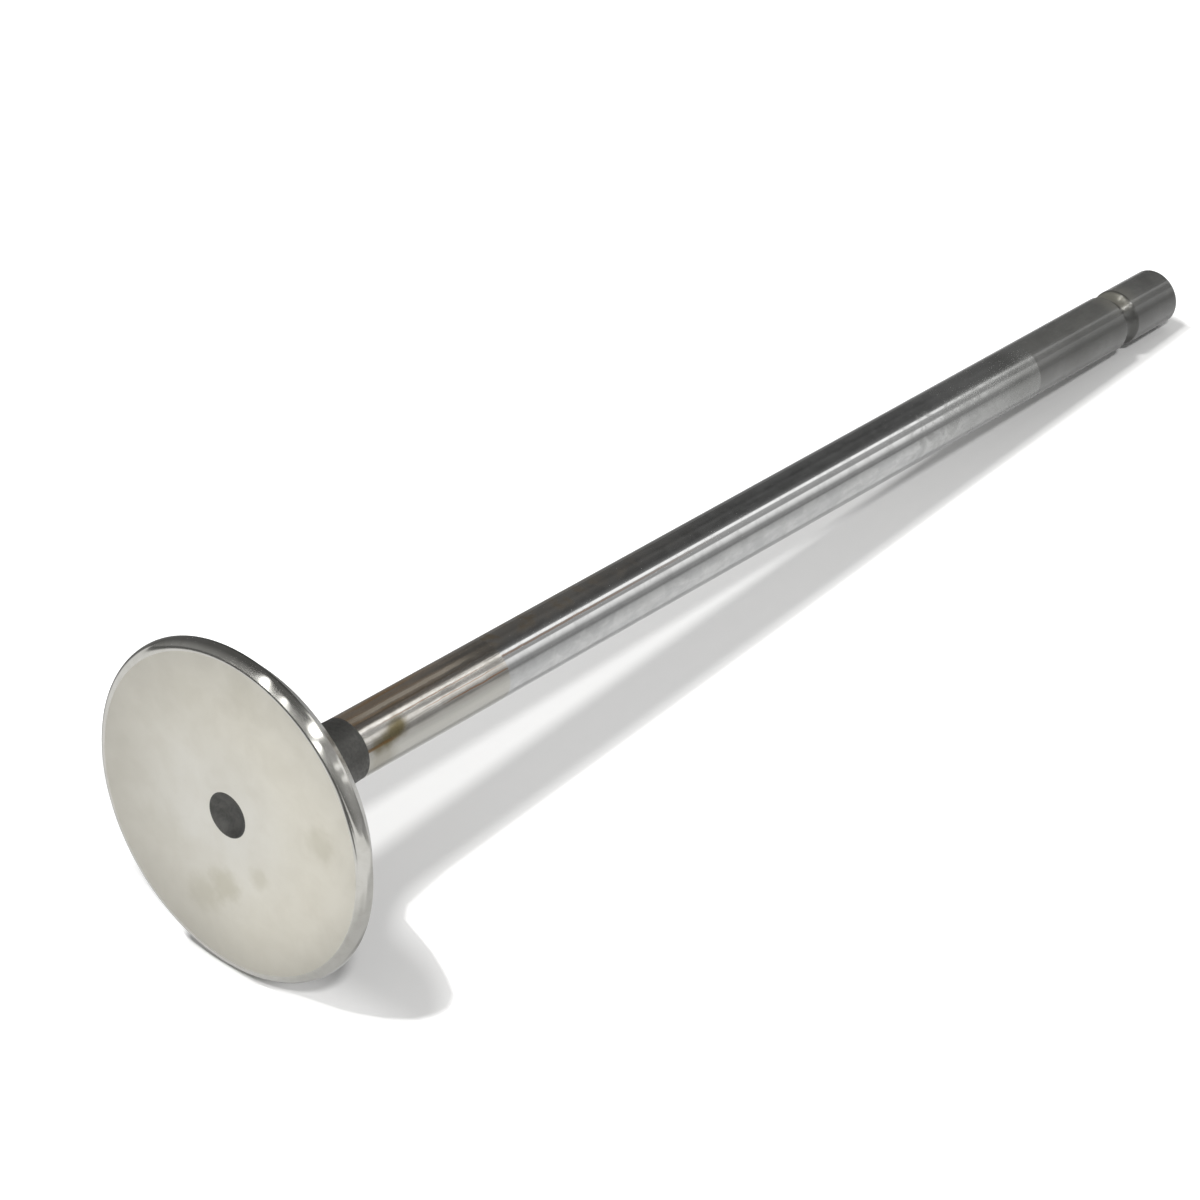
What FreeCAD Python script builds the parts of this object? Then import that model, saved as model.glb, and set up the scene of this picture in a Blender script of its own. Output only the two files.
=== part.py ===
import FreeCAD, Part
import math
import os

# A poppet valve of a truck-size diesel engine, one forged and turned piece of steel.
# It stands on its combustion face: the face is at z = 0 and the stem points up along +Z.
# Everything is turned about the Z axis, so the whole valve is one profile revolved once.
# Sizes are in millimetres and angles in degrees.

# Whole valve
overall_length = 186.0
head_diameter = 43.0
stem_diameter = 8.0

# Combustion face: flat, with a shallow round dimple at its centre
dimple_diameter = 5.6
dimple_depth = 1.0
dimple_lip_radius = 0.25

# Rim of the head: a rounded face edge, a short upright margin, then the ground seat
face_edge_radius = 1.3
margin_height = 1.5
margin_corner_radius = 0.15
seat_angle = 45.0
seat_width = 3.2
seat_inner_radius = 0.4

# Back of the head: a shallow cone that flows into the stem through a long neck radius
back_angle = 20.0
neck_radius = 14.2

# Keeper groove: a round-bottomed ring near the tip, held by the split keepers
groove_centre_from_tip = 11.2
groove_root_radius = 1.4
groove_depth = 0.9
groove_stem_edge_radius = 0.2
groove_tip_edge_radius = 0.5

# Tip: flat end with a rounded edge
tip_edge_radius = 0.5


def spot(r, z):
    """A point of the profile, r from the axis and z above the combustion face."""
    return FreeCAD.Vector(r, 0, z)


def line(start, end):
    return Part.LineSegment(start, end).toShape()


def arc_about(centre, radius, start, end):
    """The short arc from start to end: its middle lies on the bisector seen from the centre."""
    middle = (start - centre).normalize() + (end - centre).normalize()
    return Part.Arc(start, centre + middle.normalize() * radius, end).toShape()


def rounded_path(start, corners, end):
    """Straight edges from start to end, each (corner, radius) between them rounded by a tangent arc."""
    edges = []
    here = start
    places = [corner for corner, radius in corners] + [end]
    for (corner, radius), ahead in zip(corners, places[1:]):
        back = (here - corner).normalize()
        forth = (ahead - corner).normalize()
        half_angle = back.getAngle(forth) / 2
        cut = radius / math.tan(half_angle)
        centre = corner + (back + forth).normalize() * (radius / math.sin(half_angle))
        arc_start = corner + back * cut
        arc_end = corner + forth * cut
        edges.append(line(here, arc_start))
        edges.append(arc_about(centre, radius, arc_start, arc_end))
        here = arc_end
    edges.append(line(here, end))
    return edges


def lip_offset(depth, dip_radius, lip_radius):
    """How far from the middle of a round dip its rounded lip leaves the flat surface.

    The lip's circle touches the surface from inside the metal and touches the dip's circle from
    outside, so its centre is dip_radius + lip_radius from the dip's centre.
    """
    reach = dip_radius + lip_radius
    return math.sqrt(depth * (2 * reach - depth))


def touch(first_centre, first_radius, second_centre, second_radius):
    """The point where two circles touch from outside."""
    share = first_radius / (first_radius + second_radius)
    return first_centre + (second_centre - first_centre) * share


def dimple_edges():
    """From the bottom of the dimple on the axis, over its lip, to the flat face."""
    bowl_radius = (dimple_diameter ** 2 / 4 + dimple_depth ** 2) / (2 * dimple_depth)
    bowl_centre = spot(0, dimple_depth - bowl_radius)
    lip_centre = spot(lip_offset(dimple_depth, bowl_radius, dimple_lip_radius), dimple_lip_radius)
    bottom = spot(0, dimple_depth)
    lip_start = touch(bowl_centre, bowl_radius, lip_centre, dimple_lip_radius)
    lip_end = spot(lip_centre.x, 0)
    bowl = arc_about(bowl_centre, bowl_radius, bottom, lip_start)
    lip = arc_about(lip_centre, dimple_lip_radius, lip_start, lip_end)
    return [bowl, lip], bottom, lip_end


def groove_edges():
    """From the stem, over the groove's lower edge, round its root and over its upper edge to the land."""
    stem_radius = stem_diameter / 2
    groove_z = overall_length - groove_centre_from_tip
    root_centre = spot(stem_radius - groove_depth + groove_root_radius, groove_z)
    lower_offset = lip_offset(groove_depth, groove_root_radius, groove_stem_edge_radius)
    upper_offset = lip_offset(groove_depth, groove_root_radius, groove_tip_edge_radius)
    lower_centre = spot(stem_radius - groove_stem_edge_radius, groove_z - lower_offset)
    upper_centre = spot(stem_radius - groove_tip_edge_radius, groove_z + upper_offset)
    start = spot(stem_radius, lower_centre.z)
    end = spot(stem_radius, upper_centre.z)
    root_start = touch(root_centre, groove_root_radius, lower_centre, groove_stem_edge_radius)
    root_end = touch(root_centre, groove_root_radius, upper_centre, groove_tip_edge_radius)
    edges = [
        arc_about(lower_centre, groove_stem_edge_radius, start, root_start),
        arc_about(root_centre, groove_root_radius, root_start, root_end),
        arc_about(upper_centre, groove_tip_edge_radius, root_end, end),
    ]
    return edges, start, end


def head_and_stem_edges(face_start, groove_start):
    """From the flat face round the rim, over the seat and down the back of the head into the stem."""
    head_radius = head_diameter / 2
    stem_radius = stem_diameter / 2
    seat_run = seat_width * math.sin(math.radians(seat_angle))
    seat_rise = seat_width * math.cos(math.radians(seat_angle))
    seat_inner = spot(head_radius - seat_run, margin_height + seat_rise)
    back_rise = (seat_inner.x - stem_radius) * math.tan(math.radians(back_angle))
    corners = [
        (spot(head_radius, 0), face_edge_radius),
        (spot(head_radius, margin_height), margin_corner_radius),
        (seat_inner, seat_inner_radius),
        (spot(stem_radius, seat_inner.z + back_rise), neck_radius),
    ]
    return rounded_path(face_start, corners, groove_start)


def tip_edges(groove_end):
    """From the land above the groove over the tip's rounded edge to the axis."""
    corner = spot(stem_diameter / 2, overall_length)
    return rounded_path(groove_end, [(corner, tip_edge_radius)], spot(0, overall_length))


def build_valve():
    dimple, dimple_bottom, face_start = dimple_edges()
    groove, groove_start, groove_end = groove_edges()
    profile = dimple + head_and_stem_edges(face_start, groove_start) + groove + tip_edges(groove_end)
    axis_line = line(spot(0, overall_length), dimple_bottom)
    section = Part.Face(Part.Wire(profile + [axis_line]))
    return section.revolve(FreeCAD.Vector(0, 0, 0), FreeCAD.Vector(0, 0, 1), 360)


os.makedirs("parts", exist_ok=True)
valve = build_valve()
valve.exportStep("parts/engine_valve.step")
box = valve.BoundBox
print("valid", valve.isValid(), "solids", len(valve.Solids), "volume mm3", round(valve.Volume, 1))
print("box", round(box.XLength, 3), round(box.YLength, 3), round(box.ZMin, 3), round(box.ZMax, 3))
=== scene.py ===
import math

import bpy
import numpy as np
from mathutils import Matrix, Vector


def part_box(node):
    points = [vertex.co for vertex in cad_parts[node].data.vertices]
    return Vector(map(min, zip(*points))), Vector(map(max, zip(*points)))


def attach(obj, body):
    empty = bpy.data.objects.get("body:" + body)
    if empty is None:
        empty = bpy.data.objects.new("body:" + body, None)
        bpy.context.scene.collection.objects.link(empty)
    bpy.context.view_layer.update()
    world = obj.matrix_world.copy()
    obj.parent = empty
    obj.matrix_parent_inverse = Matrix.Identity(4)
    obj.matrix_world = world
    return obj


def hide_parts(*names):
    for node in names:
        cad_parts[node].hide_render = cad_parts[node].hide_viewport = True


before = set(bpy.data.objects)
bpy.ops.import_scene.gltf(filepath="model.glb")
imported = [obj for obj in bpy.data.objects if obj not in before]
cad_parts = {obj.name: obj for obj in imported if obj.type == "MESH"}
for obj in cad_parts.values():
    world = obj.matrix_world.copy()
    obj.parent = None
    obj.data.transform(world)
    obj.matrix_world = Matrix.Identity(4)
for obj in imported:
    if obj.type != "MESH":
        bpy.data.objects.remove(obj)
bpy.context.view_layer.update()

# %% [markdown]
# This is an engine valve: one piece of steel with a round head, a long stem and a groove near the
# tip for the keepers. Everything about it is turned, ground or plated round one axis. It could be
# dressed by giving the CAD solid new materials, but that solid is made of flat triangles, and a
# bright stem mirrors every one of them. So the valve's skin is worked out again as a smooth surface
# of revolution with the same sizes, and this script then paints each ground, forged or plated zone.

MM = 0.001
scene = bpy.context.scene
lowest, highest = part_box("engine_valve")
print("CAD valve from", [round(v, 4) for v in lowest], "to", [round(v, 4) for v in highest])

# %% [markdown]
# The camera comes first, because every finish is judged through it. The valve stands on its head in
# this model, while in the photograph it lies on a white table, leaning on its rim and its tip.
# Turning the valve isn't allowed, so the camera is turned instead: it looks from below and beside,
# with the table's upward direction as the picture's up. Its lens and place come from fitting the
# head's outline, the stem's edges and the tip's arc.

# %% Camera
CAMERA_PLACE = Vector((393.2, -0.7, -282.0)) * MM
CAMERA_RIGHT = Vector((0.5780, 0.4880, 0.6543))
CAMERA_LOOK = Vector((-0.7494, 0.0, 0.6621)).normalized()
LENS_MM = 126.84
SENSOR_MM = 36.0


def camera_turn(look, right):
    """The rotation whose columns are right, up and backwards, with up square to the other two."""
    up = right.cross(look).normalized()
    side = look.cross(up).normalized()
    return Matrix((side, up, -look)).transposed()


camera_data = bpy.data.cameras.new("photo_camera")
camera_data.lens = LENS_MM
camera_data.sensor_width = SENSOR_MM
camera_data.clip_start = 0.01
camera_data.clip_end = 20
camera = bpy.data.objects.new("photo_camera", camera_data)
turned = camera_turn(CAMERA_LOOK, CAMERA_RIGHT).to_4x4()
camera.matrix_world = Matrix.Translation(CAMERA_PLACE) @ turned
scene.collection.objects.link(camera)
scene.camera = camera
print("field of view", round(math.degrees(camera_data.angle), 1), "degrees")

# %% [markdown]
# The valve's shape is one line, its profile, carried once round the axis. The profile is a list of
# points (distance from the axis, height above the face). Every corner on a real valve is rounded,
# and each rounding here is an arc that touches both of its neighbours, so light runs over it without
# a break. The named sizes are those of the solid model, in millimetres.

# %% Sizes of the valve
LENGTH = 186.0
HEAD_R = 21.5
STEM_R = 4.0
DIMPLE_R, DIMPLE_DEPTH, DIMPLE_LIP = 2.8, 1.0, 0.25
FACE_EDGE = 1.3
MARGIN, MARGIN_CORNER = 1.5, 0.15
SEAT_WIDTH, SEAT_CORNER = 3.2, 0.4
BACK_ANGLE = math.radians(20)
NECK_R = 14.2
GROOVE_Z, GROOVE_ROOT, GROOVE_DEPTH = LENGTH - 11.2, 1.4, 0.9
GROOVE_STEM_LIP, GROOVE_TIP_LIP = 0.2, 0.5
TIP_EDGE = 0.5

# Where one finish ends and the next begins on the stem
NECK_END, TINT_END, CHROME_END = 19.3, 43.8, 152.7
print("head", 2 * HEAD_R, "mm across, stem", 2 * STEM_R, "mm, length", LENGTH, "mm")

# %% Straight runs and arcs


def unit(vector):
    return vector / np.linalg.norm(vector)


def run(start, end, step=4.0, guard=0.05):
    """Points on a straight line: its ends, a guard point close to each end, and steps between.

    The guard points keep the shading of the neighbouring arcs from creeping along the run.
    """
    start, end = np.array(start, float), np.array(end, float)
    length = np.linalg.norm(end - start)
    guard = min(guard, length / 4)
    inner = np.linspace(guard, length - guard, max(2, int(length / step) + 1))
    along = np.concatenate([[0.0], inner, [length]])[:, None] / length
    return start + (end - start) * along


def arc(centre, radius, start, end, count):
    """Points on a circle: centre + radius times (cos a, sin a), a going evenly from start to end."""
    first = np.arctan2(start[1] - centre[1], start[0] - centre[0])
    sweep = np.arctan2(end[1] - centre[1], end[0] - centre[0]) - first
    sweep = (sweep + np.pi) % (2 * np.pi) - np.pi
    angles = first + sweep * np.linspace(0, 1, count)
    return np.array(centre) + radius * np.column_stack([np.cos(angles), np.sin(angles)])


# %% Rounded corners and round dips


def rounding(before, corner, after, radius, count):
    """The arc that touches both lines at a corner.

    It leaves each line radius / tan(half the corner's angle) away from the corner, and its centre
    is radius / sin(half the angle) from the corner on the line that halves the angle.
    """
    before, corner, after = (np.array(p, float) for p in (before, corner, after))
    back, forth = unit(before - corner), unit(after - corner)
    half = np.arccos(np.clip(back @ forth, -1, 1)) / 2
    centre = corner + unit(back + forth) * radius / np.sin(half)
    cut = radius / np.tan(half)
    return arc(centre, radius, corner + back * cut, corner + forth * cut, count)


def dip(depth, dip_radius, lip_radius):
    """How far from a round dip's middle its lip's centre stands, along the surface.

    Lip and dip touch, so by Pythagoras it is sqrt(depth * (2 * (dip + lip) - depth)).
    """
    return math.sqrt(depth * (2 * (dip_radius + lip_radius) - depth))


def meet(first, first_radius, second, second_radius):
    """The point where two circles touch from outside, shared out by their radii."""
    first, second = np.array(first, float), np.array(second, float)
    return first + (second - first) * first_radius / (first_radius + second_radius)


print("a square corner rounded by 1:", rounding((0, 0), (5, 0), (5, 5), 1.0, 3).round(2).tolist())

# %% [markdown]
# The whole profile is a list of stretches, each with the finish that it wears. On the real part the
# finishes change at sharp rings: where the grinding wheel stopped above the forged neck, and where
# the plating stopped near the tip. The faces of a stretch carry its own material, so those rings
# are crisp edges here too. The last number of an arc is its count of points: small arcs get few,
# and the long neck gets most.

# %% Profile of the valve
bowl_radius = (DIMPLE_R**2 + DIMPLE_DEPTH**2) / (2 * DIMPLE_DEPTH)
bowl_centre = (0.0, DIMPLE_DEPTH - bowl_radius)
lip_centre = (dip(DIMPLE_DEPTH, bowl_radius, DIMPLE_LIP), DIMPLE_LIP)
bowl_edge = meet(bowl_centre, bowl_radius, lip_centre, DIMPLE_LIP)

seat_step = SEAT_WIDTH / math.sqrt(2)
face_corner = (HEAD_R, 0.0)
margin_corner = (HEAD_R, MARGIN)
seat_inner = (HEAD_R - seat_step, MARGIN + seat_step)
neck_corner = (STEM_R, seat_inner[1] + (seat_inner[0] - STEM_R) * math.tan(BACK_ANGLE))

root_centre = (STEM_R - GROOVE_DEPTH + GROOVE_ROOT, GROOVE_Z)
stem_lip = (STEM_R - GROOVE_STEM_LIP, GROOVE_Z - dip(GROOVE_DEPTH, GROOVE_ROOT, GROOVE_STEM_LIP))
tip_lip = (STEM_R - GROOVE_TIP_LIP, GROOVE_Z + dip(GROOVE_DEPTH, GROOVE_ROOT, GROOVE_TIP_LIP))
root_start = meet(root_centre, GROOVE_ROOT, stem_lip, GROOVE_STEM_LIP)
root_end = meet(root_centre, GROOVE_ROOT, tip_lip, GROOVE_TIP_LIP)

face_edge = rounding((0, 0), face_corner, margin_corner, FACE_EDGE, 17)
margin_edge = rounding(face_corner, margin_corner, seat_inner, MARGIN_CORNER, 6)
seat_edge = rounding(margin_corner, seat_inner, neck_corner, SEAT_CORNER, 7)
neck = rounding(seat_inner, neck_corner, (STEM_R, LENGTH), NECK_R, 30)
tip_edge = rounding((STEM_R, GROOVE_Z), (STEM_R, LENGTH), (0, LENGTH), TIP_EDGE, 9)
print("neck from", neck[0].round(2), "to", neck[-1].round(2))

# %% Stretches and their finishes
STRETCHES = [
    ("dimple", arc(bowl_centre, bowl_radius, (0.0, DIMPLE_DEPTH), bowl_edge, 14)),
    ("dimple", arc(lip_centre, DIMPLE_LIP, bowl_edge, (lip_centre[0], 0.0), 6)),
    ("face", run((lip_centre[0], 0.0), face_edge[0], 1.5)),
    ("rim", face_edge),
    ("rim", run(face_edge[-1], margin_edge[0], 0.4)),
    ("rim", margin_edge),
    ("seat", run(margin_edge[-1], seat_edge[0], 0.8)),
    ("back", seat_edge),
    ("back", run(seat_edge[-1], neck[0], 1.5)),
    ("back", neck),
    ("back", run(neck[-1], (STEM_R, NECK_END), 0.1, 0.01)),
    ("tint", run((STEM_R, NECK_END), (STEM_R, TINT_END))),
    ("chrome", run((STEM_R, TINT_END), (STEM_R, CHROME_END))),
    ("ground", run((STEM_R, CHROME_END), (STEM_R, stem_lip[1]))),
    ("groove", arc(stem_lip, GROOVE_STEM_LIP, (STEM_R, stem_lip[1]), root_start, 6)),
    ("groove", arc(root_centre, GROOVE_ROOT, root_start, root_end, 16)),
    ("groove", arc(tip_lip, GROOVE_TIP_LIP, root_end, (STEM_R, tip_lip[1]), 9)),
    ("land", run((STEM_R, tip_lip[1]), tip_edge[0], 1.0)),
    ("land", tip_edge),
    ("tip", run(tip_edge[-1], (0.0, LENGTH), 1.0)),
]
FINISHES = list(dict.fromkeys(finish for finish, _ in STRETCHES))
print("finishes along the profile:", FINISHES)

# %% [markdown]
# A surface of revolution is a function of two numbers: how far along the profile, and how far round.
# The stretches are joined into one line of rings, with shared end points kept once. The two ends of
# the line lie on the axis, where a ring would shrink to a point, so each end is a single vertex with
# a fan of triangles. Every quad runs one way round, which makes all faces look outwards.

# %% Surface of revolution
AROUND = 288


def joined_profile(stretches):
    """One array of (r, z) points in metres, and the finish number of each step between two points."""
    points, numbers = [stretches[0][1][:1]], []
    for finish, stretch in stretches:
        points.append(stretch[1:])
        numbers.append(np.full(len(stretch) - 1, FINISHES.index(finish)))
    return np.concatenate(points) * MM, np.concatenate(numbers)


def revolve(profile, finish_of_step, around):
    """Carries a profile round the z axis: x = r cos a, y = r sin a, for a from 0 to a full turn."""
    angles = np.linspace(0, 2 * np.pi, around, endpoint=False)
    radius, height = profile[1:-1].T
    ring_x = radius[:, None] * np.cos(angles)
    ring_y = radius[:, None] * np.sin(angles)
    ring_z = np.repeat(height[:, None], around, axis=1)
    rings = np.stack([ring_x, ring_y, ring_z], axis=2).reshape(-1, 3)
    poles = np.array([[0, 0, profile[0, 1]], [0, 0, profile[-1, 1]]])
    vertices = np.concatenate([rings, poles])

    count = len(radius)
    here = np.arange(around)
    ahead = (here + 1) % around
    base = np.arange(count - 1)[:, None] * around
    quads = np.stack([base + here, base + ahead, base + around + ahead, base + around + here], axis=2)
    quads = quads.reshape(-1, 4)
    first_pole, last_pole = count * around, count * around + 1
    last = (count - 1) * around
    bottom = np.column_stack([np.full(around, first_pole), ahead, here])
    top = np.column_stack([last + here, last + ahead, np.full(around, last_pole)])

    loops = np.concatenate([bottom.ravel(), quads.ravel(), top.ravel()])
    sizes = np.concatenate([np.full(around, 3), np.full(len(quads), 4), np.full(around, 3)])
    finish = np.repeat(finish_of_step, around)
    return vertices, loops, sizes, finish


def make_mesh(name, vertices, loops, sizes, finish):
    """Fills a Blender mesh from whole arrays: corners, faces as runs of corners, and finish numbers."""
    mesh = bpy.data.meshes.new(name)
    mesh.vertices.add(len(vertices))
    mesh.vertices.foreach_set("co", vertices.astype(np.float32).ravel())
    mesh.loops.add(len(loops))
    mesh.loops.foreach_set("vertex_index", loops.astype(np.int32))
    mesh.polygons.add(len(sizes))
    starts = np.concatenate([[0], np.cumsum(sizes)[:-1]])
    mesh.polygons.foreach_set("loop_start", starts.astype(np.int32))
    mesh.polygons.foreach_set("material_index", finish.astype(np.int32))
    mesh.update(calc_edges=True)
    mesh.shade_smooth()
    mesh.validate()
    return mesh


profile, finish_of_step = joined_profile(STRETCHES)
valve_mesh = make_mesh("valve_skin", *revolve(profile, finish_of_step, AROUND))
valve = bpy.data.objects.new("valve_skin", valve_mesh)
scene.collection.objects.link(valve)
valve_mesh.calc_loop_triangles()
print("rings", len(profile), "triangles", len(valve_mesh.loop_triangles))

# %% Is the skin closed and facing outwards
corners = np.zeros(len(valve_mesh.vertices) * 3)
valve_mesh.vertices.foreach_get("co", corners)
corners = corners.reshape(-1, 3)
triangles = np.zeros(len(valve_mesh.loop_triangles) * 3, int)
valve_mesh.loop_triangles.foreach_get("vertices", triangles)
a, b, c = (corners[triangles.reshape(-1, 3)[:, k]] for k in range(3))
volume = float(np.einsum("ij,ij->i", a, np.cross(b, c)).sum() / 6)
print("volume in mm3, positive when faces look outwards:", round(volume / MM**3, 1))

# %% [markdown]
# Materials are built from nodes, and small helpers keep each recipe short. A mask is a number from
# 0 to 1 at each point. Patterns read Object coordinates, which are metres on the valve itself, so
# every streak and stain stays where it is when the valve is seen from another side.

# %% Node helpers


def put(tree, socket, value):
    """Links an output to a socket, or sets a plain value. A colour gets its alpha of 1."""
    if isinstance(value, bpy.types.NodeSocket):
        tree.links.new(value, socket)
    else:
        socket.default_value = (*value, 1) if socket.type == "RGBA" else value


def add(tree, kind, inputs=None, **settings):
    """Adds a shader node of a kind, sets its plain properties, then fills its sockets."""
    node = tree.nodes.new("ShaderNode" + kind)
    for name, value in settings.items():
        setattr(node, name, value)
    for name, value in (inputs or {}).items():
        put(tree, node.inputs[name], value)
    return node


def feed(tree, node, **inputs):
    """Fills a node's sockets, which are named with _ for a space."""
    for name, value in inputs.items():
        put(tree, node.inputs[name.replace("_", " ")], value)


def maths(tree, operation, *values):
    """One Math node; its values are numbers or sockets. Returns its output."""
    return add(tree, "Math", dict(enumerate(values)), operation=operation).outputs[0]


def product(tree, first, *others):
    """All the values multiplied together, so a mask is there only where every one of them is."""
    for value in others:
        first = maths(tree, "MULTIPLY", first, value)
    return first


def either(tree, first, *others):
    """The largest of the values, so a mask is there wherever one of them is."""
    for value in others:
        first = maths(tree, "MAXIMUM", first, value)
    return first


def blend(tree, share, low_colour, high_colour, mode="MIX"):
    """Mixes two colours by a share from 0 to 1. Returns the colour output."""
    node = add(tree, "Mix", data_type="RGBA", blend_type=mode)
    for number, value in ((0, share), (6, low_colour), (7, high_colour)):
        put(tree, node.inputs[number], value)
    return node.outputs[2]


def toward(tree, colour, tone, *masks):
    """Moves a colour towards a tone, as far as all the masks together say."""
    return blend(tree, product(tree, *masks), colour, tone)


# %% Ramps, steps and windows


def ramp(tree, share, stops):
    """Greys that change evenly between (position, grey) stops. Returns the colour output."""
    node = add(tree, "ValToRGB", {"Fac": share})
    elements = node.color_ramp.elements
    node.color_ramp.interpolation = "LINEAR"
    while len(elements) < len(stops):
        elements.new(0.5)
    for element, (position, grey) in zip(elements, stops):
        element.position = position
        element.color = (grey, grey, grey, 1)
    return node.outputs["Color"]


def between(tree, value, start, end, low_value=0.0, high_value=1.0, shape="SMOOTHSTEP"):
    """A smooth or a LINEAR step: low_value up to start, high_value from end on."""
    node = add(tree, "MapRange", interpolation_type=shape)
    feed(tree, node, Value=value, From_Min=start, From_Max=end, To_Min=low_value, To_Max=high_value)
    return node.outputs["Result"]


def window(tree, value, centre, half):
    """A soft window: 1 at the centre and 0 from half away on."""
    away = maths(tree, "ABSOLUTE", maths(tree, "SUBTRACT", value, centre))
    return between(tree, away, half, half * 0.35)


def degrees(tree, angle):
    """An angle in degrees instead of radians."""
    return maths(tree, "MULTIPLY", angle, 180 / math.pi)


def millimetres(tree, length):
    """A length in millimetres instead of metres."""
    return maths(tree, "MULTIPLY", length, 1 / MM)


def apart(tree, first, second):
    """How far apart two positions are."""
    inputs = {0: first, 1: second}
    return add(tree, "VectorMath", inputs, operation="DISTANCE").outputs["Value"]


# %% Group helpers


def new_group(name, inputs, outputs):
    """An empty shader group. Its sockets are numbers, but Position and Centre are vectors."""
    group = bpy.data.node_groups.new(name, "ShaderNodeTree")
    for way, labels in (("INPUT", inputs), ("OUTPUT", outputs)):
        for label in labels:
            kind = "NodeSocketVector" if label in ("Position", "Centre") else "NodeSocketFloat"
            group.interface.new_socket(label, in_out=way, socket_type=kind)
    return group, group.nodes.new("NodeGroupInput").outputs, group.nodes.new("NodeGroupOutput").inputs


def use_group(tree, group, **inputs):
    """Places a group in a tree and fills its sockets. Returns its outputs."""
    node = add(tree, "Group", node_tree=group)
    feed(tree, node, **inputs)
    return node.outputs


# %% [markdown]
# Four effects come back on several zones, so each is a group. Place turns the position into height,
# distance from the axis, and angle round it. Grinding marks are fine lines that run round the part,
# made by noise that changes quickly across the lines and slowly along them. Clouds are the soft,
# uneven haze of handled metal. A stain is a round patch with a ragged edge at one place.

# %% Group: place on a turned part
outputs = ["Position", "Height", "Radius", "Angle"]
place_group, _, outs = new_group("place_on_turned_part", [], outputs)
position = add(place_group, "TexCoord").outputs["Object"]
parts = add(place_group, "SeparateXYZ", {"Vector": position}).outputs
flat = add(place_group, "CombineXYZ", {"X": parts["X"], "Y": parts["Y"]}).outputs["Vector"]
distance = add(place_group, "VectorMath", {0: flat}, operation="LENGTH").outputs["Value"]
turn = maths(place_group, "ARCTAN2", parts["Y"], parts["X"])
for label, value in zip(outputs, (position, parts["Z"], distance, turn)):
    place_group.links.new(value, outs[label])
print("a point on the valve gives", outputs)

# %% Group: grinding marks
inputs = ["Position", "Across", "Lines per mm"]
marks_group, ins, outs = new_group("grinding_marks", inputs, ["Height"])
ROUND_SCALE = 220
parts = add(marks_group, "SeparateXYZ", {"Vector": ins["Position"]}).outputs
stretched = add(marks_group, "CombineXYZ", {
    "X": product(marks_group, parts["X"], ROUND_SCALE),
    "Y": product(marks_group, parts["Y"], ROUND_SCALE),
    "Z": product(marks_group, ins["Across"], ins["Lines per mm"], 1 / MM),
}).outputs["Vector"]
inputs = {"Vector": stretched, "Scale": 1.0, "Detail": 3, "Roughness": 0.6}
marks_group.links.new(add(marks_group, "TexNoise", inputs).outputs["Fac"], outs["Height"])

# %% Group: clouds
inputs = ["Position", "Scale", "From", "To"]
clouds_group, ins, outs = new_group("clouds", inputs, ["Mask"])
inputs = {"Vector": ins["Position"], "Scale": ins["Scale"]}
inputs.update({"Detail": 5, "Roughness": 0.62, "Distortion": 0.4})
noise = add(clouds_group, "TexNoise", inputs).outputs["Fac"]
clouds_group.links.new(between(clouds_group, noise, ins["From"], ins["To"]), outs["Mask"])

# %% Group: stain
inputs = ["Position", "Centre", "Radius", "Raggedness"]
stain_group, ins, outs = new_group("stain", inputs, ["Mask"])
away = apart(stain_group, ins["Position"], ins["Centre"])
inputs = {"Vector": ins["Position"], "Scale": 700, "Detail": 4}
ragged = add(stain_group, "TexNoise", inputs).outputs["Fac"]
ragged = product(stain_group, maths(stain_group, "SUBTRACT", ragged, 0.5), ins["Raggedness"], 3.0)
share = maths(stain_group, "ADD", maths(stain_group, "DIVIDE", away, ins["Radius"]), ragged)
stain_group.links.new(between(stain_group, share, 1.15, 0.25), outs["Mask"])
print("groups:", [g.name for g in bpy.data.node_groups])

# %% [markdown]
# Every zone is bare or plated steel, so every material is a metal whose colour is its reflection.
# What tells them apart is how rough they are, how dark or tinted the metal is, and which marks they
# carry. Ground metal spreads light across its grinding lines and not along them, which the shader's
# anisotropy does with a tangent that runs round the axis.

# %% Effects on a material


def grinding(tree, position, across, lines_per_mm):
    """The relief of grinding lines that follow one another along the length called across."""
    inputs = {"Position": position, "Across": across, "Lines per mm": lines_per_mm}
    return use_group(tree, marks_group, **inputs)["Height"]


def clouds(tree, position, scale, start, end):
    """A mask of clouds: small for a high scale, and sharp where start and end are close."""
    return use_group(tree, clouds_group, Position=position, Scale=scale, From=start, To=end)["Mask"]


def drawn_out(tree, position, share):
    """The position with its height shrunk to a share, which draws a pattern out along the stem."""
    inputs = {"Vector": position, "Scale": (1, 1, share)}
    return add(tree, "Mapping", inputs).outputs["Vector"]


def stain(tree, position, centre, radius, raggedness):
    """A mask of one round stain; centre and radius are in millimetres."""
    centre = tuple(value * MM for value in centre)
    inputs = {"Position": position, "Centre": centre, "Radius": radius * MM, "Raggedness": raggedness}
    return use_group(tree, stain_group, **inputs)["Mask"]


# %% Start of a metal
MATERIALS = {}


def start_metal(name, roughness, metallic=1.0, anisotropic=0.0, coat=0.0):
    """A new metal with its tree, its shader and the place outputs. Plain values sit on the shader."""
    material = bpy.data.materials.new(name)
    material.use_nodes = True
    tree = material.node_tree
    shader = tree.nodes["Principled BSDF"]
    feed(tree, shader, Metallic=metallic, Roughness=roughness, Anisotropic=anisotropic)
    feed(tree, shader, Coat_Weight=coat, Coat_Roughness=0.06)
    if anisotropic:
        tangent = add(tree, "Tangent", direction_type="RADIAL", axis="Z").outputs["Tangent"]
        feed(tree, shader, Tangent=tangent, Anisotropic_Rotation=0.25)
    return material, tree, shader, use_group(tree, place_group)


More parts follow.
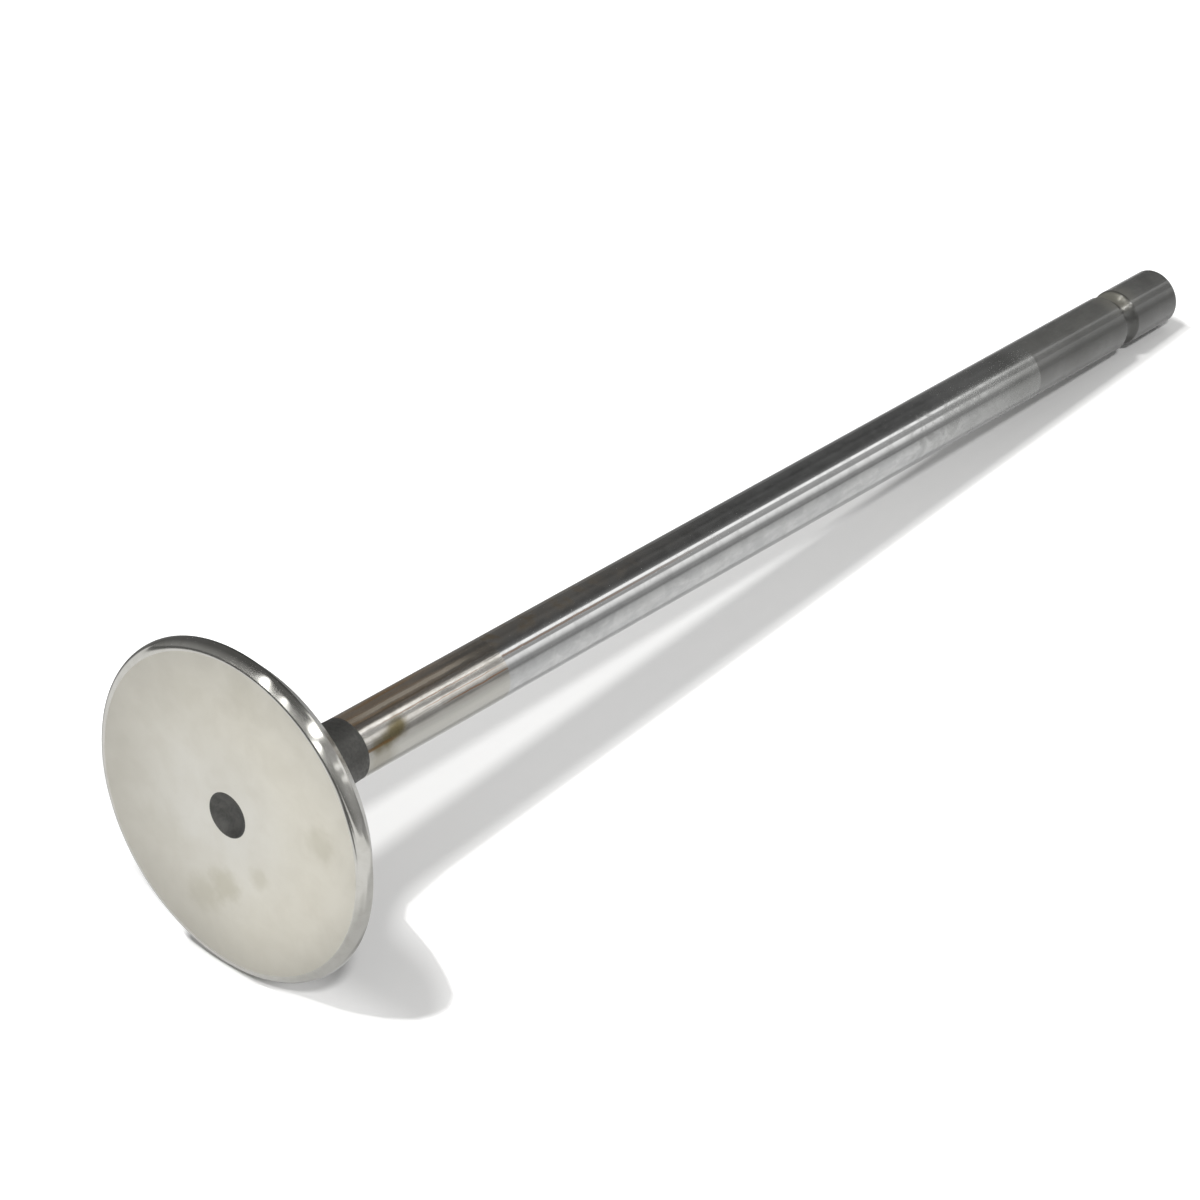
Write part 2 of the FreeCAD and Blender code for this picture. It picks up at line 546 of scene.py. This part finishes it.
def emboss(tree, shader, height, depth_mm):
    """Feeds a height from 0 to 1 into the shader's normal as relief of a depth in millimetres."""
    inputs = {"Height": height, "Distance": depth_mm * MM, "Strength": 1.0}
    feed(tree, shader, Normal=add(tree, "Bump", inputs).outputs["Normal"])


def facing(tree, place, angle, start, end):
    """A mask of the side that faces an angle in degrees: a step over the cosine of the turn from it."""
    turned = maths(tree, "SUBTRACT", place["Angle"], math.radians(angle))
    return between(tree, maths(tree, "COSINE", turned), start, end)


def keep(finish, material):
    """Files a material under the finish that it is for, and says how many nodes it took."""
    MATERIALS[finish] = material
    print(finish, "is", material.name, "with", len(material.node_tree.nodes), "nodes")


# %% [markdown]
# The combustion face is ground flat and then handled: a satin, slightly warm silver with faint grey
# and beige clouds, a few brownish stains low on the face and some near the top. It could be one
# colour with one roughness, but it would then look like plastic; small changes in both, at the size
# of a fingertip and of a grain of sand, make it metal. Towards its rim, away from a point near the
# middle, the face is also painted darker: a painted shade for the darker reflection that the real
# face shows there. A stain is given by its x, y and radius in millimetres, and by how strong it is.

# %% Combustion face
FACE_STAINS = [
    (-7.1, 6.9, 3.0, 0.55), (-0.6, 8.2, 1.9, 0.35), (-11.5, 6.5, 3.2, 0.4), (12.7, 7.9, 2.6, 0.4),
    (13.5, -10.5, 3.4, 0.2), (4.7, -14.7, 3.0, 0.12), (-12.0, -2.5, 4.0, 0.15),
]
material, tree, shader, place = start_metal("satin_face_steel", 0.3)
position = place["Position"]
broad = clouds(tree, position, 55.0, 0.3, 0.7)
small = clouds(tree, position, 240.0, 0.3, 0.75)
grain = clouds(tree, position, 2600.0, 0.2, 0.8)


def from_spot(x, y, start_mm, end_mm):
    """A mask that is 0 near a place on the face and 1 from end_mm away from it."""
    away = apart(tree, position, (x * MM, y * MM, 0))
    return between(tree, away, start_mm * MM, end_mm * MM)


warm = from_spot(-3, -1, 3, 17)
# painted shade: edge is 0 near a point close to the middle of the face and grows towards its rim
edge = from_spot(4.5, 2, 9, 27)
colour = blend(tree, warm, (0.715, 0.705, 0.655), (0.745, 0.720, 0.635))
colour = toward(tree, colour, (0.640, 0.617, 0.545), broad, 0.5)
colour = toward(tree, colour, (0.56, 0.525, 0.43), small, 0.16)
for x, y, radius, strength in FACE_STAINS:
    spot = stain(tree, position, (x, y, 0), radius, 0.3)
    colour = toward(tree, colour, (0.50, 0.475, 0.375), spot, strength)
# painted shade: the face is darkened towards its rim, for the darker reflection there
colour = toward(tree, colour, (0.28, 0.275, 0.255), edge, 0.45)
feed(tree, shader, Base_Color=colour, Roughness=between(tree, small, 0.0, 1.0, 0.28, 0.35))
marks = grinding(tree, position, place["Radius"], 5.0)
emboss(tree, shader, maths(tree, "ADD", marks, product(tree, grain, 0.25)), 0.0012)
keep("face", material)

# %% [markdown]
# The dimple in the middle of the face is a centre left by turning. It is dull and dark, because its
# wall is rough and sees mostly itself and the dark part of the room.

# %% Dimple
material, tree, shader, place = start_metal("dull_dimple_steel", 0.55)
position = place["Position"]
uneven = clouds(tree, position, 900.0, 0.3, 0.7)
colour = blend(tree, uneven, (0.10, 0.10, 0.095), (0.15, 0.148, 0.14))
feed(tree, shader, Base_Color=colour)
emboss(tree, shader, grinding(tree, position, place["Radius"], 7.0), 0.01)
keep("dimple", material)

# %% [markdown]
# The rim is the rounded edge of the head and the narrow margin behind it. It is turned smooth, so
# it mirrors the room as a dark band with bright lamp spots, and it is pale where it mirrors the
# table. The seat behind it is ground to a fine cone that seals against its insert.

# %% Rim and seat
EDGE_ZONES = [("rim", "smooth_rim_steel", 0.13, 4.0), ("seat", "ground_seat_steel", 0.26, 8.0)]
for finish, name, roughness, lines_per_mm in EDGE_ZONES:
    material, tree, shader, place = start_metal(name, roughness, anisotropic=0.2)
    position = place["Position"]
    uneven = clouds(tree, position, 500.0, 0.35, 0.7)
    colour = blend(tree, uneven, (0.62, 0.61, 0.575), (0.56, 0.55, 0.51))
    feed(tree, shader, Base_Color=colour)
    emboss(tree, shader, grinding(tree, position, place["Height"], lines_per_mm), 0.001)
    keep(finish, material)

# %% [markdown]
# The back of the head and the neck keep the skin of the forging, only blasted clean: dark grey,
# matte and slightly grainy. The grain is relief as well as colour, so it still shows in raking light.

# %% Forged back and neck
material, tree, shader, place = start_metal("blasted_forged_steel", 0.5, metallic=0.75)
position = place["Position"]
coarse = clouds(tree, position, 260.0, 0.3, 0.7)
fine = clouds(tree, position, 2200.0, 0.3, 0.7)
colour = blend(tree, coarse, (0.100, 0.099, 0.093), (0.150, 0.148, 0.139))
colour = toward(tree, colour, (0.07, 0.069, 0.065), fine, 0.3)
feed(tree, shader, Base_Color=colour, Roughness=between(tree, fine, 0.0, 1.0, 0.45, 0.6))
emboss(tree, shader, maths(tree, "ADD", fine, product(tree, coarse, 0.6)), 0.012)
keep("back", material)

# %% [markdown]
# Above the neck the stem is ground and polished bare steel that heat or oil has tinted straw and
# brown. The tint isn't even: a brown film lies on the upper side, narrow lines of it run along the
# stem, and there is an olive patch close to the neck. The film is partly clear, so it mirrors less
# than the steel does. A patch is given by its height, angle and radius and by how strong it is, and
# a line by its angle and half width, its middle height and reach, its colour and its strength.
# Lengths are in millimetres and angles in degrees.

# %% Tinted stem: what lies where
TINT_PATCHES = [
    (25.1, 9.0, 1.6, 0.95), (23.9, 15.0, 1.5, 0.95), (22.4, 21.0, 1.4, 0.9), (21.0, 24.0, 1.2, 0.7),
    (21.5, 52.0, 3.0, 0.35), (36.0, 150.0, 5.0, 0.5),
]
TINT_LINES = [
    (-37.0, 8.0, 29.0, 16.0, (0.64, 0.57, 0.47), 0.85),
    (16.0, 1.7, 39.0, 8.0, (0.34, 0.18, 0.10), 0.9),
    (24.0, 4.0, 21.0, 4.0, (0.22, 0.13, 0.05), 0.85),
    (-8.0, 1.2, 31.0, 12.0, (0.44, 0.28, 0.18), 0.7),
    (-26.0, 2.5, 30.0, 16.0, (0.17, 0.12, 0.07), 0.5),
    (5.0, 1.2, 36.0, 9.0, (0.48, 0.32, 0.23), 0.6),
]
print(len(TINT_PATCHES), "patches and", len(TINT_LINES), "lines on the tinted stem")

# %% Tinted stem: steel and film
UPPER_SIDE = -75
material, tree, shader, place = start_metal("tinted_stem_steel", 0.16, anisotropic=0.3)
position = place["Position"]
angle, height = degrees(tree, place["Angle"]), millimetres(tree, place["Height"])
marks = grinding(tree, position, place["Height"], 5.0)
streaks = clouds(tree, drawn_out(tree, position, 0.05), 1100.0, 0.38, 0.62)
uneven = clouds(tree, position, 300.0, 0.35, 0.65)
upper = product(tree, facing(tree, place, UPPER_SIDE, 0.42, 0.80), 0.95)
film = product(tree, upper, between(tree, height, 44.0, 26.0, 0.3, 1.0))
film = product(tree, film, between(tree, streaks, 0.0, 1.0, 0.5, 1.0))
colour = blend(tree, uneven, (0.68, 0.658, 0.615), (0.57, 0.548, 0.505))
colour = toward(tree, colour, (0.57, 0.56, 0.52), between(tree, place["Angle"], 0.3, 0.6))
colour = toward(tree, colour, (0.31, 0.19, 0.085), film)

# %% Tinted stem: patches and lines
for middle, turn, radius, strength in TINT_PATCHES:
    turn = math.radians(turn)
    centre = (STEM_R * math.cos(turn), STEM_R * math.sin(turn), middle)
    patch = product(tree, stain(tree, position, centre, radius, 0.15), strength)
    colour = toward(tree, colour, (0.175, 0.145, 0.07), patch)
    film = either(tree, film, patch)
ragged = maths(tree, "ADD", angle, product(tree, uneven, 1.5))
for turn, half, middle, reach, tone, strength in TINT_LINES:
    line = product(tree, window(tree, ragged, turn, half), strength)
    line = product(tree, line, window(tree, height, middle, reach))
    colour = toward(tree, colour, tone, line)
    film = either(tree, film, line)
metal = between(tree, film, 0.0, 1.0, 1.0, 0.70)
rough = between(tree, streaks, 0.0, 1.0, 0.10, 0.2)
feed(tree, shader, Base_Color=colour, Metallic=metal, Roughness=rough)
emboss(tree, shader, maths(tree, "ADD", marks, product(tree, streaks, 3.0)), 0.0018)
keep("tint", material)

# %% [markdown]
# The long middle of the stem is hard chrome, the brightest zone. It mirrors the room as sharp dark
# and light bands. Seen closely it is a little cloudy, most of all on its low side. Towards the tip
# the plating gets frosted and speckled before it stops at a faint ring. The frost is a mask that
# grows with height and has a ragged edge; it makes the chrome rougher and darker, and pits it.

# %% Hard chrome: plating, clouds and frost
LOW_SIDE = 60
material, tree, shader, place = start_metal("hard_chrome", 0.09, anisotropic=0.3)
position, height = place["Position"], place["Height"]
marks = grinding(tree, position, height, 6.0)
haze = clouds(tree, position, 420.0, 0.4, 0.68)
speckle = clouds(tree, position, 3200.0, 0.42, 0.66)
cloudy = clouds(tree, drawn_out(tree, position, 0.45), 620.0, 0.40, 0.60)
worn = between(tree, maths(tree, "ADD", height, product(tree, haze, 0.008)), 0.120, 0.151)
low_side = facing(tree, place, LOW_SIDE, 0.5, 0.85)
colour = blend(tree, haze, (0.665, 0.667, 0.66), (0.59, 0.592, 0.585))
colour = toward(tree, colour, (0.45, 0.455, 0.46), cloudy, low_side, 0.4)
colour = toward(tree, colour, (0.30, 0.30, 0.29), speckle, 0.6, worn)
colour = toward(tree, colour, (0.36, 0.362, 0.352), worn)
colour = toward(tree, colour, (0.265, 0.266, 0.256), between(tree, height, 0.143, 0.150))

# %% [markdown]
# Two more things lie on the chrome near the tinted stretch: the brown film goes on for a while as a
# thin veil on the upper side, and one rusty line runs along the stem. Dull plating mirrors a little
# less than bare metal, so the veil, the frost and the clouds also lower the shader's metallic value,
# and the frosted end has a clear coat that keeps its highlights sharp.

# %% Hard chrome: film and rusty line
upper = facing(tree, place, UPPER_SIDE, 0.5, 0.85)
film = product(tree, upper, between(tree, height, 0.098, 0.046))
film = product(tree, film, between(tree, haze, 0.0, 1.0, 0.5, 1.0))
colour = toward(tree, colour, (0.33, 0.275, 0.205), film)
angle = maths(tree, "ADD", degrees(tree, place["Angle"]), haze)
rusty = product(tree, window(tree, angle, -7.0, 2.8), between(tree, height, 0.092, 0.055), 0.75)
colour = toward(tree, colour, (0.42, 0.29, 0.22), rusty)
metal = between(tree, maths(tree, "ADD", worn, film), 0.0, 1.0, 1.0, 0.86)
metal = maths(tree, "SUBTRACT", metal, between(tree, height, 0.147, 0.152, 0.0, 0.18))
metal = maths(tree, "SUBTRACT", metal, product(tree, cloudy, 0.022))
rough = product(tree, worn, between(tree, speckle, 0.0, 1.0, 0.12, 0.22))
rough = maths(tree, "ADD", between(tree, haze, 0.0, 1.0, 0.08, 0.14), rough)
coat = product(tree, worn, 0.8)
feed(tree, shader, Base_Color=colour, Metallic=metal, Roughness=rough, Coat_Weight=coat)
emboss(tree, shader, maths(tree, "ADD", marks, product(tree, worn, 0.4, speckle)), 0.0006)
keep("chrome", material)

# %% [markdown]
# Past the chrome the stem is plain ground steel: darker, duller and a little greenish. A thin film
# of oil lies on it, which still gives a fine bright line along the stem. Beside that line a darker
# strip runs along one side of the stem: painted shade. The groove is turned into it with the same
# tool marks. On the lit upper side its rounded wall is painted paler, and so is the stem beside its
# lips: painted highlights. The land and the flat end above the groove are ground too.

# %% Ground end, groove, land and tip
END_ZONES = [
    ("ground", "ground_stem_steel", 0.46, 0.35, (0.150, 0.150, 0.141), (0.112, 0.112, 0.104)),
    ("groove", "turned_groove_steel", 0.31, 0.62, (0.105, 0.105, 0.098), (0.080, 0.080, 0.074)),
    ("land", "ground_land_steel", 0.46, 0.35, (0.148, 0.148, 0.141), (0.108, 0.108, 0.102)),
    ("tip", "ground_tip_steel", 0.4, 0.62, (0.36, 0.357, 0.34), (0.28, 0.277, 0.26)),
]
LIT_SIDE, PAINTED_SHADE_TURN = -70, 9.0
for finish, name, roughness, metallic, pale, dark in END_ZONES:
    material, tree, shader, place = start_metal(name, roughness, metallic, anisotropic=0.3, coat=0.9)
    position = place["Position"]
    across = place["Radius"] if finish == "tip" else place["Height"]
    uneven = clouds(tree, position, 260.0, 0.3, 0.7)
    grain = clouds(tree, position, 2400.0, 0.35, 0.7)
    colour = blend(tree, uneven, pale, dark)
    colour = toward(tree, colour, dark, grain, 0.3)
    if finish != "tip":
        height = millimetres(tree, place["Height"])
        lit = facing(tree, place, LIT_SIDE, 0.2, 0.9)
    if finish in ("ground", "land"):
        # painted shade: a darker strip along one side of the stem, beside the oil's bright line
        painted_shade_strip = window(tree, degrees(tree, place["Angle"]), PAINTED_SHADE_TURN, 40.0)
        colour = toward(tree, colour, (0.062, 0.062, 0.058), painted_shade_strip, 0.62)
        # painted highlight: near the groove the stem's lit side is painted paler
        lips = window(tree, height, GROOVE_Z, 4.5)
        colour = toward(tree, colour, (0.21, 0.205, 0.18), lips, 0.7, lit)
    if finish == "ground":
        near = between(tree, place["Height"], 0.163, 0.1535)
        colour = toward(tree, colour, (0.19, 0.19, 0.182), near, 0.35)
        feed(tree, shader, Roughness=between(tree, near, 0.0, 1.0, 0.48, 0.32))
    if finish == "groove":
        # painted highlight: the groove's wall is painted paler on the lit side
        wall = window(tree, height, GROOVE_Z + 0.65, 1.0)
        colour = toward(tree, colour, (0.31, 0.30, 0.255), lit, wall)
    feed(tree, shader, Base_Color=colour)
    emboss(tree, shader, grinding(tree, position, across, 7.0), 0.003)
    keep(finish, material)

# %% Finishes on the valve
for finish in FINISHES:
    valve_mesh.materials.append(MATERIALS[finish])
print("materials on the valve:", [m.name for m in valve_mesh.materials])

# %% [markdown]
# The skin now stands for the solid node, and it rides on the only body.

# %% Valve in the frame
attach(valve, "root")
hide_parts("engine_valve")
print(valve.name, "stands for engine_valve")

# %% [markdown]
# The table is the white surface of the photograph. Beside the standing valve it is a plane that
# leans against the rim of the head and the edge of the tip. It is seen from its upper side only: a
# view from its back looks through it, and so does everything that such a view meets afterwards.

# %% Table: the plane
TABLE_UP = Vector((0.7025, -0.7054, -0.0946)).normalized()
TABLE_HEIGHT = -21.6 * MM
TABLE_SIZE = 6.0

table_side = TABLE_UP.orthogonal().normalized()
table_other = TABLE_UP.cross(table_side)
table_middle = TABLE_UP * TABLE_HEIGHT
table_corners = [table_middle + (table_side * u + table_other * v) * TABLE_SIZE / 2
                 for u, v in ((-1, -1), (1, -1), (1, 1), (-1, 1))]
table_mesh = bpy.data.meshes.new("table")
table_mesh.from_pydata([tuple(corner) for corner in table_corners], [], [(0, 1, 2, 3)])
table_mesh.update()
table = bpy.data.objects.new("table", table_mesh)
scene.collection.objects.link(table)
print("table faces up:", round(table_mesh.polygons[0].normal.dot(TABLE_UP), 3))

# %% [markdown]
# Bright metal shows the table too, and what it shows isn't plain white: the real table fades away
# from the lamps and ends in the dark of the room. So mirrored rays meet a grey that fades with the
# distance in front of the stem, a painted falloff of the lamps' light, and a few places of the table
# carry painted shade or painted light, darker or paler still, such as a darker patch beside the head
# where the rim mirrors the head's shadow. Two distances say where a point of the table is: along the
# stem, and in front of it. A place has soft edges, each a step from one distance to another, and it
# is the product of its edges. The camera sees none of these greys: for it the table has one pale
# matte colour.

# %% Table: shades
TABLE_COLOUR = (0.90, 0.898, 0.89)
FADE_REACH = 240
TABLE_FADE = [(0, 0.72), (10, 0.74), (20, 0.77), (32, 0.66), (54, 0.58), (112, 0.51), (240, 0.34)]
# A shade, painted shade or painted light for mirrored rays, is its grey, its strength and its places,
# with distances in millimetres
TABLE_SHADES = [
    (0.08, 0.85, [[("front", -8, -50), ("along", 0, 20)]]),
    (0.86, 1.0, [[("along", 0, -12)]]),
    (0.50, 1.0, [[("along", -85, -110), ("front", -12, -24)]]),
    (0.13, 1.0, [
        [("front", 18, 14), ("front", -16, -9), ("along", -50, -60)],
        [("along", -128, -150)],
        [("along", -104, -118), ("front", 48, 40)],
    ]),
    (0.86, 1.0, [[("along", 75, 50), ("front", 60, 80)]]),
    (0.58, 1.0, [[("along", -34, -14), ("along", 30, 10), ("front", 55, 30), ("front", 0, 12)]]),
]
print(len(TABLE_SHADES), "shades of the table that only the metal sees")

# %% Table: two distances and soft edges
material = bpy.data.materials.new("white_table")
material.use_nodes = True
tree = material.node_tree
tree.nodes.clear()
path = add(tree, "LightPath").outputs
position = add(tree, "TexCoord").outputs["Object"]
parts = add(tree, "SeparateXYZ", {"Vector": position}).outputs
along = parts["Z"]
front = product(tree, maths(tree, "ADD", parts["X"], parts["Y"]), math.sqrt(0.5))


def soft_edge(axis, start, end):
    """A smooth step over the distance along the stem or in front of it, in millimetres."""
    return between(tree, {"along": along, "front": front}[axis], start * MM, end * MM)


def table_place(edges):
    """A mask of one place on the table, from its soft edges."""
    return product(tree, *(soft_edge(*edge) for edge in edges))


# %% Table: greys that the metal mirrors
share = between(tree, front, 0, FADE_REACH * MM, shape="LINEAR")
mirrored = ramp(tree, share, [(distance / FADE_REACH, grey) for distance, grey in TABLE_FADE])
for grey, strength, places in TABLE_SHADES:
    mask = either(tree, *(table_place(edges) for edges in places))
    mirrored = toward(tree, mirrored, (grey, grey, grey), mask, strength)
matte = blend(tree, path["Is Camera Ray"], mirrored, TABLE_COLOUR)
matte = add(tree, "BsdfDiffuse", {"Color": matte}).outputs[0]
print("greys and matte colour took", len(tree.nodes), "nodes")

# %% [markdown]
# The lamps alone would leave the table grey, so it also glows a little for the camera, everywhere
# but in the valve's shadow. The shadow's front edge is a list of points: how far in front of the
# stem it lies, for each distance along the stem. Behind the stem, where the photograph doesn't show
# the shadow, the glow comes back slowly, so that the shadow has no hard edge from other sides. It
# ends just past the tip and just under the head, where the glow starts again. Close to the head's
# foot a weaker glow lies inside the shadow, and under the face the glow is stronger: painted light
# that lightens the head's contact shadow.

# %% Table: glow around the shadow
TABLE_GLOW = 0.42
SHADOW_LENGTH, SHADOW_WIDTH = 190, 25
SHADOW_EDGE = [
    (0, 4.0), (2, 8.3), (4, 15.8), (6, 19.8), (8, 22.5), (10, 23.8), (12, 24.2), (14, 23.2),
    (16, 20.0), (18, 15.8), (20, 9.8), (22, 8.2), (30, 7.3), (66, 6.9), (98, 6.5), (133, 5.9),
    (166, 5.6), (190, 5.3),
]
share = maths(tree, "DIVIDE", along, SHADOW_LENGTH * MM)
front_edge = ramp(tree, share, [(z / SHADOW_LENGTH, side / SHADOW_WIDTH) for z, side in SHADOW_EDGE])
front_edge = product(tree, front_edge, SHADOW_WIDTH * MM)
back_edge = between(tree, along, 30 * MM, 190 * MM, -24.5 * MM, -9.0 * MM, shape="LINEAR")
past_front = maths(tree, "SUBTRACT", front, front_edge)
past_back = maths(tree, "SUBTRACT", front, back_edge)
past_head = maths(tree, "SUBTRACT", along, product(tree, soft_edge("front", -6.0, -9.5), 4.0 * MM))
past_tip = maths(tree, "SUBTRACT", along, product(tree, soft_edge("front", -2.0, 2.0), 0.7 * MM))
lit = either(
    tree,
    between(tree, past_front, -0.3 * MM, 1.2 * MM),
    between(tree, past_back, 8.0 * MM, 1.0 * MM),
    between(tree, past_head, 1.0 * MM, -2.0 * MM),
    between(tree, past_tip, 187.2 * MM, 188.8 * MM),
    # painted light: a weaker glow close to the head's foot lightens its shadow there
    product(tree, table_place([("along", 10, 3), ("front", 3, 9)]), 0.45),
)
# painted light: more glow under the head's face, where its contact shadow would show
corner = product(tree, between(tree, past_head, 2.0 * MM, 0.0), soft_edge("front", -6.0, -9.5))
glow = product(tree, path["Is Camera Ray"], maths(tree, "ADD", lit, corner), TABLE_GLOW)
print("shadow outline from", SHADOW_EDGE[0], "to", SHADOW_EDGE[-1], "mm")

# %% [markdown]
# One more patch of glow, close to the head, is for mirrored rays only: the stem just above the neck
# mirrors it as a soft pale strip. At the end the matte table and the glow are added, and the back
# of the plane is made clear.

# %% Table: put together
HEAD_GLOW = 0.32
near_head = table_place([("along", 18, 9), ("front", 21, 14), ("front", 0, 5), ("along", 1, 6)])
glow = maths(tree, "ADD", glow, product(tree, near_head, path["Is Glossy Ray"], HEAD_GLOW))
glow = add(tree, "Emission", {"Color": (1, 1, 1), "Strength": glow}).outputs[0]
surface = add(tree, "AddShader", {0: matte, 1: glow}).outputs[0]
back = add(tree, "NewGeometry").outputs["Backfacing"]
gone = either(tree, back, maths(tree, "GREATER_THAN", path["Transparent Depth"], 0.5))
clear = add(tree, "BsdfTransparent").outputs[0]
surface = add(tree, "MixShader", {0: gone, 1: surface, 2: clear}).outputs[0]
tree.links.new(surface, add(tree, "OutputMaterial").inputs["Surface"])
table_mesh.materials.append(material)
print("the table's material has", len(tree.nodes), "nodes")

# %% [markdown]
# Two soft lamps light the table, and their shadows are those of the photograph: one lamp is almost
# over the valve and throws the long soft shadow beside the stem, the other is near the camera and
# leaves a narrow shadow along the stem's lower edge. The metal doesn't mirror these two; what it
# mirrors is the room, which comes next.

# %% Lamps
LAMP_AIM = Vector((0, 0, 0.07))


def soft_lamp(name, direction, distance, size, brightness):
    """A round lamp that faces the valve. brightness is what a white surface facing it sends back.

    A lamp of power P at distance d gives a white surface P / (pi * pi * d * d).
    """
    data = bpy.data.lights.new(name, "AREA")
    data.shape = "DISK"
    data.size = size
    data.energy = brightness * (math.pi * distance) ** 2
    lamp = bpy.data.objects.new(name, data)
    direction = Vector(direction).normalized()
    turned = direction.to_track_quat("Z", "Y").to_matrix().to_4x4()
    lamp.matrix_world = Matrix.Translation(LAMP_AIM + direction * distance) @ turned
    lamp.visible_glossy = False
    scene.collection.objects.link(lamp)
    print(name, "gives", round(data.energy, 2), "W")


soft_lamp("lamp_above", (0.554, -0.740, -0.382), 1.6, 0.26, 0.40)
soft_lamp("lamp_by_camera", (0.879, -0.161, -0.449), 1.6, 0.16, 0.40)

# %% [markdown]
# Bright metal is a picture of its room, so the room decides how the stem looks. The real room is
# dark, with two long bright windows or lamps. It could be built from cards round the valve, but the
# world's own colour does it without any more objects: it is a ramp of greys over the angle round
# the valve's axis, with the two bright strips at the angles where the photograph's highlights put
# them. Each stop is an angle in degrees and a grey, where 1 is white.

# %% Room that the stem mirrors
ROOM = [
    (-180, 0.50), (-150, 0.30), (-137, 0.14), (-126, 0.10), (-100, 0.085), (-87, 0.070), (-74, 0.10),
    (-62, 0.085), (-48, 0.085), (-38, 0.14), (-31, 0.26), (-28.5, 1.35), (-21, 1.35), (-18, 0.50),
    (-6, 0.42), (1, 0.38), (4, 1.15), (11, 1.05), (18, 0.78), (26, 0.38), (38, 0.30), (42, 0.32),
    (52, 0.75), (95, 0.78), (138, 0.40), (158, 0.40), (176, 0.50),
]
world = bpy.data.worlds.new("room")
scene.world = world
world.use_nodes = True
tree = world.node_tree
tree.nodes.clear()


def round_ramp(share, greys):
    """A ramp of greys over a whole turn, from -180 to 180 degrees."""
    return ramp(tree, share, [(angle / 360 + 0.5, grey) for angle, grey in greys])


direction = add(tree, "TexCoord").outputs["Generated"]
turn = add(tree, "TexGradient", {"Vector": direction}, gradient_type="RADIAL").outputs["Fac"]
stem_room = round_ramp(turn, ROOM)
print("the room has", len(ROOM), "greys round the stem")

# %% [markdown]
# The rim is so narrow and round that it mirrors the whole room in a few pixels, and the stem's ramp
# can't say what shows where on it. Half way between a mirrored ray and the photograph's viewpoint is
# the direction that the metal itself faces, so that direction is a place on the rim: its turn round
# the axis, and its tilt from the margin, at 0 degrees, to the face, at 90. One ramp of greys serves
# the outer part of the rounding and one the inner part. Small round lamps are placed in the same
# way, by turn, tilt, radius and brightness; the radius is in pixels of the photograph, so that they
# come out round there.

# %% Rim: greys and lamps
RIM_OUTSIDE = [
    (-180, 0.30), (-90, 0.15), (-60, 0.12), (-45, 0.12), (-38, 0.11), (-30, 0.15), (-20, 0.16),
    (-12, 0.24), (-3, 0.38), (5, 0.44), (12, 0.44), (20, 0.34), (26, 0.46), (31, 0.72), (46, 0.74),
    (60, 0.52), (90, 0.50), (180, 0.30),
]
RIM_INSIDE = [
    (-180, 0.40), (-90, 0.33), (-60, 0.30), (-50, 0.27), (-40, 0.36), (-30, 0.48), (-22, 0.54),
    (-12, 0.46), (-5, 0.48), (0, 0.43), (5, 0.35), (10, 0.24), (15, 0.15), (20, 0.10), (28, 0.11),
    (45, 0.40), (90, 0.50), (180, 0.40),
]
RIM_LAMPS = [
    (-31.6, 57, 7.5, 4.0), (-22.5, 59, 5.5, 3.0), (-9.2, 12, 8.8, 5.5), (-4.6, 64, 5.6, 4.5),
    (3.6, 20, 4.0, 1.0), (8.0, 12, 4.0, 0.9), (-46.0, 80, 3.5, 1.0),
]
print(len(RIM_LAMPS), "small lamps on the rim")

# %% Room that the rim mirrors
RIM_MIDDLE = Vector((20.8, -4.3, 0.6)) * MM
PIXELS_PER_TURN, PIXELS_PER_TILT = 3.3, 0.178
to_camera = (CAMERA_PLACE - RIM_MIDDLE).normalized()
halfway = add(tree, "VectorMath", {0: direction, 1: to_camera}, operation="ADD").outputs[0]
halfway = add(tree, "VectorMath", {0: halfway}, operation="NORMALIZE").outputs[0]
parts = add(tree, "SeparateXYZ", {"Vector": halfway}).outputs
turn = degrees(tree, maths(tree, "ARCTAN2", parts["Y"], parts["X"]))
tilt = maths(tree, "MULTIPLY", maths(tree, "ARCSINE", parts["Z"]), -180 / math.pi)
share = maths(tree, "ADD", maths(tree, "DIVIDE", turn, 360), 0.5)
outside, inside = round_ramp(share, RIM_OUTSIDE), round_ramp(share, RIM_INSIDE)
rim_room = blend(tree, between(tree, tilt, 25.0, 65.0), outside, inside)
room = blend(tree, between(tree, tilt, 2.0, 7.0), stem_room, rim_room)
on_rim = add(tree, "CombineXYZ", {
    "X": product(tree, turn, PIXELS_PER_TURN), "Y": product(tree, tilt, PIXELS_PER_TILT),
}).outputs["Vector"]
for lamp_turn, lamp_tilt, radius, brightness in RIM_LAMPS:
    centre = (lamp_turn * PIXELS_PER_TURN, lamp_tilt * PIXELS_PER_TILT, 0)
    spot = between(tree, apart(tree, on_rim, centre), radius, radius * 0.6, 0.0, brightness)
    spot = product(tree, spot, between(tree, tilt, 1.0, 5.0))
    room = blend(tree, 1.0, room, spot, "ADD")
print("direction from the rim to the camera:", [round(v, 2) for v in to_camera])

# %% [markdown]
# Only mirrored rays meet that room. Everything else gets a plain even light from it, and the camera
# sees white behind the valve. The world isn't sampled as a lamp, because rays find it by themselves.

# %% World
ROOM_LIGHT = (0.40, 0.40, 0.40)
WHITE = (1, 1, 1)
path = add(tree, "LightPath").outputs
lit = blend(tree, path["Is Glossy Ray"], ROOM_LIGHT, room)
seen = blend(tree, path["Is Camera Ray"], lit, WHITE)
background = add(tree, "Background", {"Color": seen, "Strength": 1.0}).outputs[0]
tree.links.new(background, add(tree, "OutputWorld").inputs["Surface"])
world.cycles.sampling_method = "NONE"
print("the world has", len(tree.nodes), "nodes")

# %% Colours as written
scene.view_settings.view_transform = "Standard"
print("view transform:", scene.view_settings.view_transform)

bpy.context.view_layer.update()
